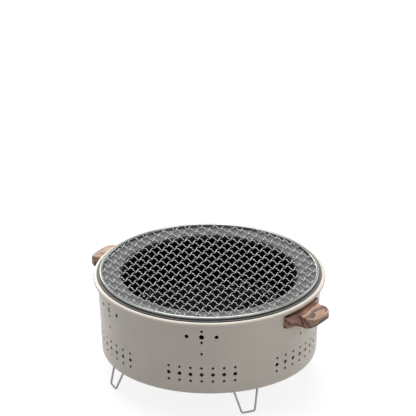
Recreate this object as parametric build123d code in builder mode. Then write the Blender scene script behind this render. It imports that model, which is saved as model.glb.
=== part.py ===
from build123d import *
import os
from math import atan, ceil, cos, degrees, hypot, radians, sin, tan

# Portable charcoal grill in millimetres, +Z up, origin on the ground under the centre.
# The handles lie along X and the plain front faces -Y. The pieces are drawn as the grill
# stands ready for use: legs out, pan hung in the shell, grate lying on the pan.

# General fits, and how far a hole's cutter reaches through a sheet
seat_gap = 0.2
pin_clearance = 0.06
hole_clearance = 0.1
drill_reach = 10.0

# Grate: a grooved wire hoop round a woven net of two wire families
hoop_radius = 150.0
hoop_wire = 4.4
net_thickness = 1.6
net_capture = 1.2
groove_clearance = 0.1
net_wire = 1.6
net_pitches = (13.4, 14.8)
net_normals = (6.7, 81.7)
net_margin = 2.0

# Outer shell, one pressed sheet: flat base, slightly flared wall and an outward curl
ground_clearance = 35.5
shell_sheet = 1.0
wall_flare = 5.8
curl_height = 107.8
curl_radius = 3.6
curl_turn = 300.0
base_corner = 5.0

# Vent holes in the shell: six groups, heights measured from the base's underside
vent_groups = 6
vent_columns = 7
vent_column_pitch = 5.9
vent_arm_angle = 7.7
vent_small = 3.8
vent_large = 5.4
vent_arm_hole = 5.6
vent_cross_hole = 7.0
vent_row_heights = {20.0: vent_small, 30.0: vent_large, 40.0: vent_small}
vent_single_height = 62.0
vent_cross_height = 88.0
vent_cross_reach = 8.5

# Charcoal pan, one pressed sheet; its flange's edge rests just inside the curl's crown
pan_sheet = 1.2
pan_depth = 78.0
pan_air_gap = 31.8
pan_flare = 2.0
flange_margin = 3.4
crown_step = 1.4
pan_base_corner = 6.0
flange_bend = 5.0
pan_groups = 4
pan_columns = 7
pan_column_pitch = 5.8
pan_hole = 4.8
pan_row_height = 8.5
pan_upper_height = 16.0
pan_upper_angle = 9.1

# Wooden handles screwed to the wall under the curl, outline measured out from the wall
handle_angles = {"right": 0.0, "left": 180.0}
handle_drop = 3.0
handle_height = 18.0
handle_length = 76.0
pad_thickness = 6.6
neck_reach = 8.6
neck_width = 41.0
grip_reach = 31.0
grip_width = 55.0
nose_bulge = 3.4
neck_blend = 8.0
grip_blend = 13.0
pad_blend = 2.5
grip_start = 5.0
grip_rise = 5.0
grip_belly = 0.5
grip_fall = 5.0
grip_crown = 1.6
handle_edge = 2.0
handle_seat = 0.15

# Handle screws, driven from inside the shell with a washer under each head
screw_spacing = 28.0
screw_radius = 2.0
screw_length = 18.0
screw_head_radius = 4.0
screw_head_height = 2.6
screw_head_edge = 0.4
washer_radius = 4.8
washer_thickness = 0.8
washer_seat = 0.1

# Folding wire legs, one to each quarter
leg_names = ("front_right", "back_right", "back_left", "front_left")
leg_first_angle = -34.0
leg_wire = 2.8
hinge_inset = 15.4
hinge_drop = 2.9
foot_splay = 10.0
leg_top_width = 35.0
foot_width = 18.6
leg_bend = 3.4
stub_reach = 5.8

# Leg brackets: a folded plate with two eared ends and an outer stop lip
bracket_sheet = 1.0
ear_gap = 3.2
ear_depth = 1.9
ear_half_length = 3.2
bracket_inner_reach = 15.0
lip_depth = 1.4
lip_gap = 0.15
lip_end_gap = 0.6

# Bracket rivets
rivet_spacing = 14.0
rivet_inset = 9.5
rivet_radius = 1.6
rivet_head_radius = 3.0
rivet_head_height = 1.3

# Places that follow from the sizes above
base_z = ground_clearance
curl_z = base_z + curl_height
rim_top_z = curl_z + curl_radius
flange_settle = curl_radius - (curl_radius**2 - crown_step**2) ** 0.5
flange_z = rim_top_z - flange_settle + seat_gap
flange_top_z = flange_z + pan_sheet
flange_radius = hoop_radius + flange_margin
curl_centre = flange_radius + crown_step
wall_top_radius = curl_centre - curl_radius + shell_sheet
base_radius = wall_top_radius - wall_flare
wall_tilt = degrees(atan(wall_flare / curl_height))
pan_wall_radius = wall_top_radius - shell_sheet - pan_air_gap
pan_base_radius = pan_wall_radius - pan_flare
pan_base_z = flange_z - pan_depth
hoop_z = flange_top_z + seat_gap + hoop_wire / 2
hoop_centre = hoop_radius - hoop_wire / 2
hoop_inner = hoop_radius - hoop_wire
net_radius = hoop_inner + net_capture
handle_top = curl_height - curl_radius - handle_drop
handle_middle = handle_top - handle_height / 2
wire_radius = leg_wire / 2
hinge_z = base_z - hinge_drop
hinge_radius = base_radius - hinge_inset
leg_fall = hinge_z - wire_radius
leg_lean = degrees(atan(foot_splay / leg_fall))
leg_length = hypot(foot_splay, leg_fall)


def wall_radius(height):
    """Outer radius of the shell's wall at a height above the base's underside."""
    return base_radius + wall_flare * height / curl_height


def wall_plane(angle, height, outward=0.0):
    """Plane on the shell's outer wall, Z square to the wall and X along it."""
    turn = radians(angle)
    tilt = radians(wall_tilt)
    out = Vector(cos(turn), sin(turn), 0)
    normal = out * cos(tilt) - Vector(0, 0, 1) * sin(tilt)
    seat = out * wall_radius(height) + Vector(0, 0, base_z + height) + normal * outward
    return Plane(origin=seat, x_dir=(-sin(turn), cos(turn), 0), z_dir=normal)


def side_plane(angle, radius, height):
    """Upright plane at a radius, Z pointing outwards and X along the circle."""
    turn = radians(angle)
    out = Vector(cos(turn), sin(turn), 0)
    seat = out * radius + Vector(0, 0, height)
    return Plane(origin=seat, x_dir=(-sin(turn), cos(turn), 0), z_dir=out)


def level_plane(angle, radius, height):
    """Level plane at a radius, X pointing outwards."""
    turn = radians(angle)
    out = Vector(cos(turn), sin(turn), 0)
    return Plane(origin=out * radius + Vector(0, 0, height), x_dir=out, z_dir=(0, 0, 1))


def profile_plane(angle):
    """Upright plane through the grill's axis, X pointing outwards and Y up."""
    turn = radians(angle)
    return Plane(origin=(0, 0, 0), x_dir=(cos(turn), sin(turn), 0), z_dir=(sin(turn), -cos(turn), 0))


def column_angles(centre, count, pitch):
    """Angles of a row of holes, evenly spaced about its centre."""
    return [centre + (i - (count - 1) / 2) * pitch for i in range(count)]


def finish(piece, name):
    """Label a finished piece and write it out under its name."""
    piece.part.label = name
    export_step(piece.part, f"parts/{name}.step")


os.makedirs("parts", exist_ok=True)

handle_screw_angle = degrees(atan(screw_spacing / 2 / wall_radius(handle_middle)))
leg_angles = [leg_first_angle + 90 * i for i in range(len(leg_names))]
leg_of = dict(zip(leg_names, leg_angles))

# Vent seats by hole diameter; a group behind a handle has no upper cross
vent_seats = {vent_small: [], vent_large: [], vent_arm_hole: [], vent_cross_hole: []}
for group in range(vent_groups):
    group_angle = 360 / vent_groups * group
    for angle in column_angles(group_angle, vent_columns, vent_column_pitch):
        for height, size in vent_row_heights.items():
            vent_seats[size].append(wall_plane(angle, height))
    vent_seats[vent_small].append(wall_plane(group_angle, vent_single_height))
    if group_angle in handle_angles.values():
        continue
    for step in (-vent_cross_reach, vent_cross_reach):
        vent_seats[vent_small].append(wall_plane(group_angle, vent_cross_height + step))
    for turn in (-vent_arm_angle, vent_arm_angle):
        vent_seats[vent_arm_hole].append(wall_plane(group_angle + turn, vent_cross_height))
    vent_seats[vent_cross_hole].append(wall_plane(group_angle, vent_cross_height))

screw_turns = (-handle_screw_angle, handle_screw_angle)
screw_angles = {side: [angle + turn for turn in screw_turns] for side, angle in handle_angles.items()}
rivet_places = ((-rivet_inset, -rivet_spacing / 2), (-rivet_inset, rivet_spacing / 2))

# Outer shell
with BuildPart() as outer_shell:
    with BuildSketch(Plane.XZ) as shell_section:
        with BuildLine():
            curl_hollow = curl_radius - shell_sheet
            Polyline((0, base_z), (base_radius, base_z), (curl_centre - curl_hollow, curl_z))
            inner_curl = CenterArc((curl_centre, curl_z), curl_hollow, 180, -curl_turn)
            outer_curl = CenterArc((curl_centre, curl_z), curl_radius, 180, -curl_turn)
            Line(inner_curl @ 1, outer_curl @ 1)
            Polyline(
                outer_curl @ 0,
                (base_radius - shell_sheet, base_z + shell_sheet),
                (0, base_z + shell_sheet),
                (0, base_z),
            )
        make_face()
        base_corners = shell_section.vertices().filter_by_position(
            Axis.X, base_radius - 2 * shell_sheet, base_radius + shell_sheet
        )
        outer_corner = base_corners.sort_by(Axis.Y)[0]
        inner_corner = base_corners.sort_by(Axis.Y)[1]
        fillet(outer_corner, base_corner)
        fillet(inner_corner, base_corner - shell_sheet)
    revolve(axis=Axis.Z)
    for size, seats in vent_seats.items():
        with Locations(*seats):
            Cylinder(size / 2, drill_reach, mode=Mode.SUBTRACT)
    for angles in screw_angles.values():
        with Locations(*[wall_plane(angle, handle_middle) for angle in angles]):
            Cylinder(screw_radius + hole_clearance, drill_reach, mode=Mode.SUBTRACT)
    for angle in leg_angles:
        with BuildSketch(level_plane(angle, hinge_radius, base_z)):
            with Locations(*rivet_places):
                Circle(rivet_radius + hole_clearance)
        extrude(amount=shell_sheet, mode=Mode.SUBTRACT)
finish(outer_shell, "outer_shell")

# Charcoal pan
with BuildPart() as charcoal_pan:
    with BuildSketch(Plane.XZ) as pan_section:
        with BuildLine():
            Polyline(
                (0, pan_base_z),
                (pan_base_radius, pan_base_z),
                (pan_wall_radius, flange_z),
                (flange_radius, flange_z),
                (flange_radius, flange_top_z),
                (pan_wall_radius - pan_sheet, flange_top_z),
                (pan_base_radius - pan_sheet, pan_base_z + pan_sheet),
                (0, pan_base_z + pan_sheet),
                close=True,
            )
        make_face()
        pan_corners = pan_section.vertices().filter_by_position(
            Axis.X, pan_base_radius - 2 * pan_sheet, pan_wall_radius + pan_sheet
        )
        pan_low, pan_floor, pan_under, pan_mouth = pan_corners.sort_by(Axis.Y)
        fillet(pan_low, pan_base_corner)
        fillet(pan_section.vertices().sort_by_distance(pan_floor)[0], pan_base_corner - pan_sheet)
        fillet(pan_section.vertices().sort_by_distance(pan_under)[0], flange_bend)
        fillet(pan_section.vertices().sort_by_distance(pan_mouth)[0], flange_bend + pan_sheet)
    revolve(axis=Axis.Z)
    pan_seats = []
    for group in range(pan_groups):
        group_angle = 360 / pan_groups * group
        for angle in column_angles(group_angle, pan_columns, pan_column_pitch):
            pan_seats.append(side_plane(angle, pan_base_radius, pan_base_z + pan_row_height))
        for turn in (-pan_upper_angle, pan_upper_angle):
            pan_seats.append(side_plane(group_angle + turn, pan_base_radius, pan_base_z + pan_upper_height))
    with Locations(*pan_seats):
        Cylinder(pan_hole / 2, drill_reach, mode=Mode.SUBTRACT)
finish(charcoal_pan, "charcoal_pan")

# Grate hoop, grooved on the inside to hold the net
with BuildPart() as grate_hoop:
    with BuildSketch(Plane.XZ):
        with Locations((hoop_centre, hoop_z)):
            Circle(hoop_wire / 2)
        groove_radius = net_radius + groove_clearance
        with Locations((groove_radius, hoop_z)):
            Rectangle(
                hoop_wire,
                net_thickness + 2 * groove_clearance,
                align=(Align.MAX, Align.CENTER),
                mode=Mode.SUBTRACT,
            )
    revolve(axis=Axis.Z)
finish(grate_hoop, "grate_hoop")

# Grate net: the gaps between two crossing families of wires, kept clear of the hoop
first, second = [Vector(cos(radians(a)), sin(radians(a))) for a in net_normals]
cross = first.X * second.Y - first.Y * second.X


def net_point(u, v):
    """Point whose distances along the two families' normals are u and v."""
    x = (u * second.Y - v * first.Y) / cross
    y = (v * first.X - u * second.X) / cross
    return (x, y)


half_gaps = [(pitch - net_wire) / 2 for pitch in net_pitches]
gap_corners = [
    net_point(su * half_gaps[0], sv * half_gaps[1]) for su, sv in ((-1, -1), (1, -1), (1, 1), (-1, 1))
]
net_clear = hoop_inner - net_margin
steps = ceil(net_radius / min(net_pitches))
gap_centres = []
for i in range(-steps, steps + 1):
    for j in range(-steps, steps + 1):
        x, y = net_point(i * net_pitches[0], j * net_pitches[1])
        if max(hypot(x + dx, y + dy) for dx, dy in gap_corners) < net_clear:
            gap_centres.append((x, y))
print("net gaps", len(gap_centres))

with BuildPart() as grate_mesh:
    with BuildSketch(Plane.XY.offset(hoop_z - net_thickness / 2)):
        Circle(net_radius)
        with Locations(*gap_centres):
            Polygon(*gap_corners, align=None, mode=Mode.SUBTRACT)
    extrude(amount=net_thickness)
finish(grate_mesh, "grate_mesh")

# Handles, screws and washers
wall_here = wall_radius(handle_middle)
handle_half = handle_length / 2
handle_low_z = base_z + handle_top - handle_height
pad_x = (wall_here**2 - handle_half**2) ** 0.5 + pad_thickness
back_x = pad_x - handle_half
neck_x = wall_here + neck_reach
neck_y = neck_width / 2
grip_x = wall_here + grip_reach
grip_y = grip_width / 2
nose_x = grip_x + nose_bulge
handle_top_z = handle_low_z + handle_height
start_x = wall_here + pad_thickness + grip_start
middle_x = (start_x + nose_x) / 2
cut_x = nose_x + grip_rise
for side, handle_angle in handle_angles.items():
    with BuildPart() as handle:
        with BuildSketch(level_plane(handle_angle, 0, handle_low_z)) as plan:
            with BuildLine():
                Polyline((grip_x, -grip_y), (neck_x, -neck_y), (pad_x, -handle_half), (back_x, -handle_half))
                Line((back_x, -handle_half), (back_x, handle_half))
                Polyline((back_x, handle_half), (pad_x, handle_half), (neck_x, neck_y), (grip_x, grip_y))
                ThreePointArc((grip_x, grip_y), (nose_x, 0), (grip_x, -grip_y))
            make_face()
            corner_blends = {
                (pad_x, handle_half): pad_blend,
                (neck_x, neck_y): neck_blend,
                (grip_x, grip_y): grip_blend,
            }
            for (reach, across), blend in corner_blends.items():
                for spot in (Vector(reach, across), Vector(reach, -across)):
                    fillet(plan.vertices().sort_by_distance(spot)[0], blend)
        extrude(amount=handle_height)
        with BuildSketch(profile_plane(handle_angle)):
            with BuildLine():
                Polyline(
                    (start_x, handle_low_z),
                    (start_x, handle_low_z - grip_rise),
                    (cut_x, handle_low_z - grip_rise),
                    (nose_x, handle_low_z + grip_rise),
                )
                ThreePointArc(
                    (nose_x, handle_low_z + grip_rise),
                    (middle_x, handle_low_z + grip_belly),
                    (start_x, handle_low_z),
                )
            make_face()
            with BuildLine():
                Polyline(
                    (start_x, handle_top_z),
                    (start_x, handle_top_z + grip_fall),
                    (cut_x, handle_top_z + grip_fall),
                    (nose_x, handle_top_z - grip_fall),
                )
                ThreePointArc(
                    (nose_x, handle_top_z - grip_fall),
                    (middle_x, handle_top_z - grip_crown),
                    (start_x, handle_top_z),
                )
            make_face()
        extrude(amount=handle_half, both=True, mode=Mode.SUBTRACT)
        level_faces = handle.faces().filter_by(lambda face: abs(face.normal_at().Z) > 0.5)
        fillet(level_faces.edges(), handle_edge)
        with Locations((0, 0, base_z)):
            Cone(
                base_radius + handle_seat,
                wall_top_radius + handle_seat,
                curl_height,
                align=(Align.CENTER, Align.CENTER, Align.MIN),
                mode=Mode.SUBTRACT,
            )
        with Locations(*[wall_plane(angle, handle_middle) for angle in screw_angles[side]]):
            Cylinder(screw_radius + pin_clearance, 2 * screw_length, mode=Mode.SUBTRACT)
    finish(handle, f"handle_{side}")

    with BuildPart() as screws:
        head_seat = -(shell_sheet + washer_seat + washer_thickness)
        for angle in screw_angles[side]:
            with BuildSketch(wall_plane(angle, handle_middle, head_seat)):
                Circle(screw_head_radius)
            extrude(amount=-screw_head_height)
            with BuildSketch(wall_plane(angle, handle_middle, head_seat)):
                Circle(screw_radius)
            extrude(amount=screw_length)
        fillet(screws.edges().filter_by(GeomType.CIRCLE).group_by(SortBy.RADIUS)[-1], screw_head_edge)
    finish(screws, f"handle_screws_{side}")

    with BuildPart() as washers:
        for angle in screw_angles[side]:
            with BuildSketch(wall_plane(angle, handle_middle, -(shell_sheet + washer_seat))):
                Circle(washer_radius)
                Circle(screw_radius + hole_clearance, mode=Mode.SUBTRACT)
            extrude(amount=-washer_thickness)
    finish(washers, f"handle_washers_{side}")

# Wire legs, brackets and rivets
ear_x = leg_top_width / 2 + ear_gap
lip_y = lip_depth * tan(radians(leg_lean)) + (wire_radius + lip_gap) / cos(radians(leg_lean))
for name, leg_angle in leg_of.items():
    turn = radians(leg_angle)
    out = Vector(cos(turn), sin(turn), 0)
    along = Vector(-sin(turn), cos(turn), 0)
    lean = radians(leg_lean)
    hinge = out * hinge_radius + Vector(0, 0, hinge_z)
    leg_up = Vector(0, 0, 1) * cos(lean) - out * sin(lean)
    leg_plane = Plane(origin=hinge, x_dir=along, z_dir=along.cross(leg_up))
    with BuildPart() as leg:
        with BuildLine(leg_plane) as leg_route:
            FilletPolyline(
                (-leg_top_width / 2 - stub_reach, 0),
                (-leg_top_width / 2, 0),
                (-foot_width / 2, -leg_length),
                (foot_width / 2, -leg_length),
                (leg_top_width / 2, 0),
                (leg_top_width / 2 + stub_reach, 0),
                radius=leg_bend,
            )
        with BuildSketch(Plane(origin=leg_route.line @ 0, z_dir=leg_route.line % 0)):
            Circle(wire_radius)
        sweep()
    finish(leg, f"leg_{name}")

    with BuildPart() as bracket:
        with BuildSketch(level_plane(leg_angle, hinge_radius, base_z)):
            with BuildLine():
                outer = lip_y + bracket_sheet
                across = ear_x + bracket_sheet
                Polyline(
                    (-bracket_inner_reach, -across),
                    (outer, -across),
                    (outer, across),
                    (-bracket_inner_reach, across),
                    close=True,
                )
            make_face()
            with Locations(*rivet_places):
                Circle(rivet_radius + hole_clearance, mode=Mode.SUBTRACT)
        extrude(amount=-bracket_sheet)
        with BuildSketch(level_plane(leg_angle, hinge_radius, base_z - bracket_sheet)):
            for sign in (-1, 1):
                with Locations((0, sign * (ear_x + bracket_sheet / 2))):
                    Rectangle(2 * ear_half_length, bracket_sheet)
        extrude(amount=-(hinge_drop + ear_depth - bracket_sheet))
        with BuildSketch(level_plane(leg_angle, hinge_radius, base_z - bracket_sheet)):
            with Locations((lip_y + bracket_sheet / 2, 0)):
                Rectangle(bracket_sheet, 2 * (ear_x - lip_end_gap))
        extrude(amount=-(hinge_drop + lip_depth - bracket_sheet))
        with Locations(Plane(origin=hinge, x_dir=out, z_dir=along)):
            Cylinder(wire_radius + pin_clearance, 3 * leg_top_width, mode=Mode.SUBTRACT)
    finish(bracket, f"leg_bracket_{name}")

    with BuildPart() as rivets:
        for height, radius, amount in (
            (base_z - bracket_sheet, rivet_head_radius, -rivet_head_height),
            (base_z - bracket_sheet, rivet_radius, bracket_sheet + shell_sheet),
            (base_z + shell_sheet, rivet_head_radius, rivet_head_height),
        ):
            with BuildSketch(level_plane(leg_angle, hinge_radius, height)):
                with Locations(*rivet_places):
                    Circle(radius)
            extrude(amount=amount)
        fillet(rivets.edges().filter_by(GeomType.CIRCLE).group_by(Axis.Z)[0], rivet_head_height / 2)
        fillet(rivets.edges().filter_by(GeomType.CIRCLE).group_by(Axis.Z)[-1], rivet_head_height / 2)
    finish(rivets, f"leg_rivets_{name}")
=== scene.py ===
from math import cos, pi, radians, sin, sqrt, tanh

import bmesh
import bpy
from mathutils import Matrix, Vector


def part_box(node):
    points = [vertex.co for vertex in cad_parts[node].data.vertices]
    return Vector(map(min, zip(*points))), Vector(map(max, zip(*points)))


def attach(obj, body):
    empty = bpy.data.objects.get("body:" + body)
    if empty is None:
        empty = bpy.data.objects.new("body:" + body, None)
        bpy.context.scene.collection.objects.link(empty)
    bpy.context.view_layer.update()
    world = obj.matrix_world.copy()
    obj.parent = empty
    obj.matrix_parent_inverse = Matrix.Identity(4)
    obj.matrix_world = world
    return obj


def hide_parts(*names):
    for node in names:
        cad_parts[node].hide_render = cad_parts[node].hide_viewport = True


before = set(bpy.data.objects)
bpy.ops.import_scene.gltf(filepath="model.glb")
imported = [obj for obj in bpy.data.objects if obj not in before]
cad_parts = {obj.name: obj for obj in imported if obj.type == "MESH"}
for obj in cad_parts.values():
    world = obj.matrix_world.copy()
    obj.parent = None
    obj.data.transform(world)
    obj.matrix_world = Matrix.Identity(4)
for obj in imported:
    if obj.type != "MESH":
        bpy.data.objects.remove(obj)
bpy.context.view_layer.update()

MM = 0.001

# The camera follows the photograph's: far off, looking down on the grill from its front right.
IMAGE_SIZE = 416
PIXELS_PER_M = 737.0
CAMERA_DISTANCE = 9.0
CAMERA_REACH = 40.0
CAMERA_AZIMUTH = 34.0
CAMERA_ELEVATION = 25.0
AXIS_PIXEL_X = 209.3
GROUND_PIXEL_Y = 371.7
SENSOR_MM = 36.0

# Light: the surroundings, and the white that the backdrop and floor show.
AMBIENT = 0.18
AMBIENT_COLOUR = (0.96, 0.97, 1.0, 1)
WHITE_STRENGTH = 1.1
BACKDROP_WHITE = 1.0
FLOOR_WHITE = 0.78
FLOOR_HALF_SIDE = 6.0
LAMP_AIM = Vector((0, 0, 0.1))

# The net's two wire families, as the solids have them: pitch and the angle of the normal.
NET_FAMILIES = ((13.4 * MM, 6.7), (14.8 * MM, 81.7))
NET_WIRE_RADIUS = 0.57 * MM
NET_CRIMP = 1.22 * MM
NET_LAP = 0.38 * MM
NET_CRIMP_SQUARENESS = 1.5
NET_EDGE_GAP = 0.2 * MM
NET_STEP = 0.9 * MM
NET_LEAST_STEPS = 4
NET_SIDES = 6

# Share of a pitch over which a wire flattens out at the hoop.
NET_FADE = 0.25

# The pan's holes, as the solids have them: groups round the wall, each a row with one hole
# above it on either side.
PAN_BASE_RADIUS = 117.4 * MM
PAN_SLOPE = 2.0 / 78.0
PAN_SHEET = 1.2 * MM
PAN_HOLE_RADIUS = 2.4 * MM
PAN_GROUPS = 4
PAN_COLUMNS_ASIDE = 3
PAN_PITCH = 5.8
PAN_ROW_HEIGHT = 8.5 * MM
PAN_UPPER_ANGLE = 9.1
PAN_UPPER_HEIGHT = 16.0 * MM

# Section of a hole's lip: out from the hole's edge and out from the middle of the sheet.
LIP_STEPS = 24
LIP_SECTION = (
    (-0.35 * MM, -0.5 * MM),
    (-0.1 * MM, -0.78 * MM),
    (0.4 * MM, -0.72 * MM),
    (0.4 * MM, 0.72 * MM),
    (-0.1 * MM, 0.78 * MM),
    (-0.35 * MM, 0.5 * MM),
)

# Height above which the pan's enamel takes the flange's painted reflection grey, at rest, and half
# the change's width.
FLANGE_Z = 147.6 * MM
FLANGE_BLUR = 0.2 * MM

# Sockets of Blender's Mix node when it mixes colours.
MIX_FACTOR, MIX_A, MIX_B, MIX_RESULT = 0, 6, 7, 2


def camera():
    """Far camera whose frame matches the photograph's."""
    azimuth = radians(CAMERA_AZIMUTH)
    elevation = radians(CAMERA_ELEVATION)
    level_share = cos(elevation)
    back = Vector((sin(azimuth) * level_share, -cos(azimuth) * level_share, sin(elevation)))
    right = Vector((cos(azimuth), sin(azimuth), 0))
    half = IMAGE_SIZE / 2
    rise = (GROUND_PIXEL_Y - half) / (PIXELS_PER_M * level_share)
    aside = (half - AXIS_PIXEL_X) / PIXELS_PER_M
    target = Vector((0, 0, rise)) + right * aside
    data = bpy.data.cameras.new("camera")
    data.sensor_width = SENSOR_MM
    data.lens = PIXELS_PER_M * CAMERA_DISTANCE * SENSOR_MM / IMAGE_SIZE
    data.clip_end = CAMERA_REACH
    eye = bpy.data.objects.new("camera", data)
    eye.location = target + back * CAMERA_DISTANCE
    eye.rotation_euler = back.to_track_quat("Z", "Y").to_euler()
    bpy.context.scene.collection.objects.link(eye)
    bpy.context.scene.camera = eye


class Shader:
    """A node material, built call by call."""

    def __init__(self, name):
        self.material = bpy.data.materials.new(name)
        self.material.use_nodes = True
        self.nodes = self.material.node_tree.nodes
        self.links = self.material.node_tree.links
        self.surface = self.nodes["Principled BSDF"]
        self.position = self.add("ShaderNodeTexCoord").outputs["Object"]

    def add(self, kind, **settings):
        """New node with its settings."""
        node = self.nodes.new(kind)
        for key, value in settings.items():
            setattr(node, key, value)
        return node

    def link(self, out, socket):
        """Joins an output to an input."""
        self.links.new(out, socket)

    def constants(self, **sockets):
        """Constant values on the surface shader's own sockets."""
        for key, value in sockets.items():
            self.surface.inputs[key.replace("_", " ")].default_value = value

    def mapped(self, scale, rotation=(0, 0, 0)):
        """The position, stretched and turned."""
        node = self.add("ShaderNodeMapping")
        node.inputs["Scale"].default_value = scale
        node.inputs["Rotation"].default_value = rotation
        self.link(self.position, node.inputs["Vector"])
        return node.outputs["Vector"]

    def noise(self, scale, detail, roughness=0.5, vector=None):
        """Noise of a scale per metre."""
        node = self.add("ShaderNodeTexNoise")
        node.inputs["Scale"].default_value = scale
        node.inputs["Detail"].default_value = detail
        node.inputs["Roughness"].default_value = roughness
        self.link(vector or self.position, node.inputs["Vector"])
        return node.outputs["Fac"]

    def ramp(self, fac, stops):
        """Colour ramp over (place, colour) stops."""
        node = self.add("ShaderNodeValToRGB")
        elements = node.color_ramp.elements
        while len(elements) < len(stops):
            elements.new(0.5)
        for element, (place, colour) in zip(elements, stops):
            element.position = place
            element.color = (*colour, 1.0)
        self.link(fac, node.inputs["Fac"])
        return node.outputs["Color"]

    def remap(self, value, low, high, to_low, to_high):
        """Value carried from one range to another, held at the ends."""
        node = self.add("ShaderNodeMapRange")
        node.inputs["From Min"].default_value = low
        node.inputs["From Max"].default_value = high
        node.inputs["To Min"].default_value = to_low
        node.inputs["To Max"].default_value = to_high
        self.link(value, node.inputs["Value"])
        return node.outputs["Result"]

    def mix(self, fac, a, b, blend="MIX"):
        """Mix of two colours, each an output or a plain colour."""
        node = self.add("ShaderNodeMix", data_type="RGBA", blend_type=blend)
        for key, source in ((MIX_A, a), (MIX_B, b)):
            if isinstance(source, tuple):
                node.inputs[key].default_value = (*source, 1.0)
            else:
                self.link(source, node.inputs[key])
        if isinstance(fac, float):
            node.inputs[MIX_FACTOR].default_value = fac
        else:
            self.link(fac, node.inputs[MIX_FACTOR])
        return node.outputs[MIX_RESULT]

    def bump(self, height, distance, strength, under=None):
        """Surface bump of a real height in metres, over an earlier bump."""
        node = self.add("ShaderNodeBump")
        node.inputs["Strength"].default_value = strength
        node.inputs["Distance"].default_value = distance
        self.link(height, node.inputs["Height"])
        if under:
            self.link(under, node.inputs["Normal"])
        return node.outputs["Normal"]

    def finish(self, colour, roughness=None, normal=None):
        """Joins what varies to the surface shader."""
        for key, source in (("Base Color", colour), ("Roughness", roughness), ("Normal", normal)):
            if source is not None:
                self.link(source, self.surface.inputs[key])
        return self.material


def shell_enamel():
    """Cream baked coating: slight cloudiness, fine orange peel and sparse specks."""
    shade, cream, speck = (0.67, 0.615, 0.545), (0.73, 0.675, 0.60), (0.36, 0.32, 0.28)
    s = Shader("shell_enamel")
    s.constants(Specular_IOR_Level=0.5, Coat_Weight=0.18, Coat_Roughness=0.22)
    cloudy = s.ramp(s.noise(14.0, 4.0), ((0.3, shade), (0.7, cream)))
    specks = s.remap(s.noise(2600.0, 1.0), 0.70, 0.78, 0.0, 0.35)
    colour = s.mix(specks, cloudy, speck)
    peel = s.noise(900.0, 2.0)
    rough = s.remap(s.noise(60.0, 4.0), 0.3, 0.7, 0.36, 0.48)
    return s.finish(colour, rough, s.bump(peel, 0.06 * MM, 0.6))


def black_enamel():
    """Black enamel, deep on the bowl and painted reflection grey on the flange from FLANGE_Z
    upwards.
    """
    deep, deep_fleck = (0.004, 0.004, 0.0045), (0.03, 0.03, 0.032)
    # Painted reflection: the flange's greys stand in for the bright surroundings mirrored in its
    # glossy black. Its flecks are the enamel's real speckle, drawn lighter with the painted
    # reflection.
    reflection_dark, reflection_light, reflection_fleck = (0.12, 0.122, 0.126), (0.15, 0.153, 0.158), (0.2, 0.2, 0.205)
    s = Shader("black_enamel")
    s.constants(Specular_IOR_Level=0.13)
    split = s.add("ShaderNodeSeparateXYZ")
    s.link(s.position, split.inputs["Vector"])
    on_flange = s.remap(split.outputs["Z"], FLANGE_Z - FLANGE_BLUR, FLANGE_Z + FLANGE_BLUR, 0.0, 1.0)
    flecks = s.remap(s.noise(1500.0, 1.0), 0.68, 0.74, 0.0, 1.0)
    bowl = s.mix(flecks, deep, deep_fleck)
    # Cloudy painted reflection grey for the flange, with the lighter flecks over it.
    cloudy = s.ramp(s.noise(22.0, 4.0), ((0.3, reflection_dark), (0.7, reflection_light)))
    flange = s.mix(flecks, cloudy, reflection_fleck)
    colour = s.mix(on_flange, bowl, flange)
    rough = s.remap(s.noise(45.0, 5.0), 0.3, 0.7, 0.3, 0.42)
    waves = s.bump(s.noise(40.0, 2.0), 0.6 * MM, 0.25)
    grain = s.bump(s.noise(1200.0, 2.0), 0.03 * MM, 0.5, waves)
    return s.finish(colour, rough, grain)


def metal(name, colour, roughness):
    """Bare or plated steel: cloudy tone, fine marks and uneven polish."""
    s = Shader(name)
    s.constants(Metallic=1.0)
    dark = tuple(0.78 * c for c in colour)
    tone = s.ramp(s.noise(90.0, 5.0), ((0.32, dark), (0.66, colour)))
    marks = s.noise(1.0, 4.0, vector=s.mapped((400.0, 400.0, 400.0)))
    rough = s.remap(marks, 0.25, 0.75, roughness * 0.75, roughness * 1.35)
    return s.finish(tone, rough, s.bump(marks, 0.03 * MM, 0.5))


def wood():
    """Figured hardwood: dark contour lines over olive and pink tan, pores and an oiled sheen."""
    olive, pink, pore = (0.47, 0.32, 0.20), (0.60, 0.34, 0.25), (0.09, 0.04, 0.025)
    turn = (0.35, 0.25, 0.55)
    s = Shader("wood")
    s.constants(Specular_IOR_Level=0.45, Coat_Weight=0.15, Coat_Roughness=0.3)
    wave = s.add("ShaderNodeTexWave", wave_type="RINGS", rings_direction="Y", wave_profile="SAW")
    wave.inputs["Scale"].default_value = 40.0
    wave.inputs["Distortion"].default_value = 9.0
    wave.inputs["Detail"].default_value = 3.0
    wave.inputs["Detail Scale"].default_value = 1.5
    s.link(s.mapped((1, 0.38, 1), turn), wave.inputs["Vector"])
    patches = s.remap(s.noise(24.0, 2.0), 0.42, 0.6, 0.0, 1.0)
    ground = s.mix(patches, olive, pink)
    lines = s.ramp(
        wave.outputs["Fac"],
        (
            (0.0, (1.0, 1.0, 1.0)),
            (0.42, (0.8, 0.76, 0.72)),
            (0.7, (0.36, 0.28, 0.24)),
            (0.86, (0.07, 0.045, 0.035)),
            (0.94, (0.05, 0.03, 0.025)),
            (1.0, (0.85, 0.8, 0.76)),
        ),
    )
    figured = s.mix(1.0, ground, lines, "MULTIPLY")
    fibre = s.noise(1.0, 6.0, 0.6, vector=s.mapped((1900, 160, 1900), turn))
    colour = s.mix(s.remap(fibre, 0.3, 0.75, 0.5, 0.0), figured, pore)
    rough = s.remap(fibre, 0.2, 0.8, 0.36, 0.52)
    return s.finish(colour, rough, s.bump(fibre, 0.12 * MM, 0.6))


def paint(node, material):
    """Gives a CAD node one material."""
    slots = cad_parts[node].data.materials
    slots.clear()
    slots.append(material)


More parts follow.
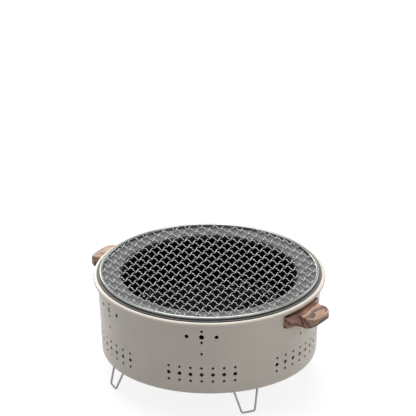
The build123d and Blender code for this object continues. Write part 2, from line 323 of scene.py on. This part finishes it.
def meshed(name, bm, material):
    """Mesh in one material from a bmesh, which is freed."""
    mesh = bpy.data.meshes.new(name)
    bm.to_mesh(mesh)
    bm.free()
    mesh.materials.append(material)
    return mesh


def new_piece(name, bm, material, body):
    """Smooth piece of the scene's own, in place, which rides a body."""
    mesh = meshed(name, bm, material)
    for face in mesh.polygons:
        face.use_smooth = True
    piece = bpy.data.objects.new(name, mesh)
    bpy.context.scene.collection.objects.link(piece)
    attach(piece, body)
    return piece


def level(angle):
    """Level unit vector at an angle in degrees."""
    turn = radians(angle)
    return Vector((cos(turn), sin(turn), 0))


def skin(bm, rings, closed=False):
    """Faces from each ring of points to the next, and from the last to the first if closed."""
    following = rings[1:]
    if closed:
        following = rings[1:] + rings[:1]
    for a, b in zip(rings, following):
        for k in range(len(a)):
            m = (k + 1) % len(a)
            bm.faces.new((a[k], a[m], b[m], b[k]))


def tube(bm, points, side, radius, sides):
    """Capped round tube through points; side is a vector that stays across the whole route."""
    rings = []
    last = len(points) - 1
    turns = [2 * pi * k / sides for k in range(sides)]
    for i, point in enumerate(points):
        ahead = (points[min(i + 1, last)] - points[max(i - 1, 0)]).normalized()
        up = ahead.cross(side).normalized()
        across = up.cross(ahead).normalized()
        rings.append([bm.verts.new(point + (across * cos(t) + up * sin(t)) * radius) for t in turns])
    skin(bm, rings)
    bm.faces.new(list(reversed(rings[0])))
    bm.faces.new(rings[-1])


def wire_route(family, offset, half, middle):
    """Points of one net wire: waved between its crossings, half a length to either side."""
    normal = level(NET_FAMILIES[family][1])
    other_pitch, other_angle = NET_FAMILIES[1 - family]
    other = level(other_angle)
    along = Vector((-normal.y, normal.x, 0))
    slant = normal.dot(other)
    rate = along.dot(other)
    lap = NET_LAP if family == 0 else -NET_LAP
    steps = max(NET_LEAST_STEPS, round(2 * half / NET_STEP))
    points = []
    for k in range(steps + 1):
        run = -half + 2 * half * k / steps
        phase = (offset * slant + run * rate) / other_pitch - 0.5
        wave = sin(2 * pi * phase)
        crimp = tanh(NET_CRIMP_SQUARENESS * wave) / tanh(NET_CRIMP_SQUARENESS)
        fade = min(1.0, (half - abs(run)) / (NET_FADE * other_pitch))
        height = middle + fade * (NET_CRIMP * crimp + lap)
        points.append(normal * offset + along * run + Vector((0, 0, height)))
    return points


def net_wires(material):
    """Net of crimped wires, waved up and down between their crossings."""
    low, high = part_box("grate_mesh")
    reach = high.x - NET_EDGE_GAP
    middle = (low.z + high.z) / 2
    bm = bmesh.new()
    for family, (pitch, angle) in enumerate(NET_FAMILIES):
        count = int(reach / pitch) + 1
        for i in range(-count, count):
            offset = (i + 0.5) * pitch
            if abs(offset) >= reach - 2 * NET_WIRE_RADIUS:
                continue
            half = sqrt(reach**2 - offset**2)
            route = wire_route(family, offset, half, middle)
            tube(bm, route, level(angle), NET_WIRE_RADIUS, NET_SIDES)
    net = new_piece("crimped_net", bm, material, "grate")
    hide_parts("grate_mesh")


def pan_holes():
    """Angle and height over the pan's base of each hole in the pan's wall."""
    holes = []
    for group in range(PAN_GROUPS):
        middle = 360 * group / PAN_GROUPS
        for column in range(-PAN_COLUMNS_ASIDE, PAN_COLUMNS_ASIDE + 1):
            holes.append((middle + column * PAN_PITCH, PAN_ROW_HEIGHT))
        for side in (-1, 1):
            holes.append((middle + side * PAN_UPPER_ANGLE, PAN_UPPER_HEIGHT))
    return holes


def hole_lip(bm, angle, height, base):
    """Lip round one hole of the pan, whose base is at the height given."""
    out = level(angle)
    across = Vector((-out.y, out.x, 0))
    wall = PAN_BASE_RADIUS + PAN_SLOPE * height
    centre = out * (wall - PAN_SHEET / 2) + Vector((0, 0, base + height))
    rings = []
    for k in range(LIP_STEPS):
        around = 2 * pi * k / LIP_STEPS
        spoke = across * cos(around) + Vector((0, 0, sin(around)))
        start = centre + out * (PAN_SLOPE * PAN_HOLE_RADIUS * sin(around))
        ring = []
        for reach, depth in LIP_SECTION:
            ring.append(bm.verts.new(start + spoke * (PAN_HOLE_RADIUS + reach) + out * depth))
        rings.append(ring)
    skin(bm, rings, closed=True)


def hole_lips(material):
    """Pale metal lips round the pan's holes, on the bowl's inside and outside: a painted highlight
    for the light seen through the holes.
    """
    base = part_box("charcoal_pan")[0].z
    bm = bmesh.new()
    for angle, height in pan_holes():
        hole_lip(bm, angle, height, base)
    bmesh.ops.recalc_face_normals(bm, faces=bm.faces)
    new_piece("pan_hole_lips", bm, material, "pan")


def show_white(tree, plain, output, kind, share):
    """Mixes a share of white into a shader, for camera, glossy and transmission rays alone."""
    nodes, links = tree.nodes, tree.links
    path = nodes.new("ShaderNodeLightPath")
    seen = path.outputs["Is Camera Ray"]
    for ray in ("Is Glossy Ray", "Is Transmission Ray"):
        either = nodes.new("ShaderNodeMath")
        either.operation = "MAXIMUM"
        links.new(seen, either.inputs[0])
        links.new(path.outputs[ray], either.inputs[1])
        seen = either.outputs[0]
    part = nodes.new("ShaderNodeMath")
    part.operation = "MULTIPLY"
    part.inputs[1].default_value = share
    links.new(seen, part.inputs[0])
    white = nodes.new(kind)
    white.inputs["Color"].default_value = (1, 1, 1, 1)
    white.inputs["Strength"].default_value = WHITE_STRENGTH
    mix = nodes.new("ShaderNodeMixShader")
    links.new(part.outputs[0], mix.inputs[0])
    links.new(plain, mix.inputs[1])
    links.new(white.outputs[0], mix.inputs[2])
    links.new(mix.outputs[0], output.inputs["Surface"])


def surroundings():
    """Dim even light all round, seen as plain white."""
    world = bpy.data.worlds.new("studio")
    bpy.context.scene.world = world
    world.use_nodes = True
    nodes = world.node_tree.nodes
    ambient = nodes["Background"]
    ambient.inputs["Color"].default_value = AMBIENT_COLOUR
    ambient.inputs["Strength"].default_value = AMBIENT
    output = nodes["World Output"]
    show_white(world.node_tree, ambient.outputs[0], output, "ShaderNodeBackground", BACKDROP_WHITE)


def ground():
    """Mid grey floor that the camera sees as white, with the grill's soft shadow on it."""
    dark, light, shown_white = (0.5, 0.5, 0.5), (0.54, 0.54, 0.54), (0.97, 0.97, 0.97)
    s = Shader("floor")
    tone = s.ramp(s.noise(6.0, 3.0), ((0.3, dark), (0.7, light)))
    s.constants(Roughness=0.9, Specular_IOR_Level=0.1)
    shown = s.add("ShaderNodeLightPath").outputs["Is Camera Ray"]
    s.finish(s.mix(shown, tone, shown_white))
    output = s.nodes["Material Output"]
    tree = s.material.node_tree
    show_white(tree, s.surface.outputs[0], output, "ShaderNodeEmission", FLOOR_WHITE)
    bm = bmesh.new()
    bmesh.ops.create_grid(bm, x_segments=2, y_segments=2, size=FLOOR_HALF_SIDE)
    floor = bpy.data.objects.new("floor", meshed("floor", bm, s.material))
    bpy.context.scene.collection.objects.link(floor)


def lamp(name, place, size, power, colour):
    """Square area lamp aimed at the middle of the grill."""
    data = bpy.data.lights.new(name, "AREA")
    data.energy = power
    data.color = colour
    data.size = size
    light = bpy.data.objects.new(name, data)
    light.location = place
    aim = Vector(place) - LAMP_AIM
    light.rotation_euler = aim.to_track_quat("Z", "Y").to_euler()
    bpy.context.scene.collection.objects.link(light)


def lamps():
    """Soft lamps, the strongest overhead."""
    lamp("overhead", (-0.25, 0.2, 1.5), 1.2, 25.0, (1.0, 0.99, 0.97))
    lamp("left_front", (-1.5, -1.3, 0.9), 1.0, 2.4, (1.0, 0.97, 0.94))
    lamp("left", (-1.4, 0.7, 0.55), 0.8, 7.0, (1.0, 0.96, 0.92))
    lamp("right_front", (1.7, -0.2, 0.8), 0.9, 4.5, (1.0, 0.98, 0.96))
    lamp("back", (0.4, 1.8, 0.9), 1.0, 5.0, (1.0, 1.0, 1.0))


def paint_solids():
    """Gives each CAD node the first finish whose key its name starts with."""
    plate_metal = metal("plate_metal", (0.55, 0.56, 0.55), 0.36)
    finishes = {
        "outer_shell": shell_enamel(),
        "charcoal_pan": black_enamel(),
        "grate_hoop": metal("hoop_metal", (0.27, 0.28, 0.265), 0.24),
        "handle_screws": metal("screw_metal", (0.62, 0.62, 0.6), 0.3),
        "handle_washers": plate_metal,
        "handle": wood(),
        "leg_bracket": plate_metal,
        "leg_rivets": metal("rivet_metal", (0.68, 0.68, 0.68), 0.33),
        "leg": metal("leg_metal", (0.3, 0.3, 0.29), 0.34),
    }
    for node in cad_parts:
        for start, material in finishes.items():
            if node.startswith(start):
                paint(node, material)
                break


camera()
surroundings()
ground()
lamps()
bpy.context.scene.view_settings.view_transform = "Standard"

paint_solids()
net_wires(metal("wire_metal", (0.34, 0.35, 0.34), 0.27))
# Pale lip metal: painted highlight round the pan's holes, for the light seen through them.
hole_lips(metal("lip_painted_highlight", (0.74, 0.74, 0.73), 0.35))
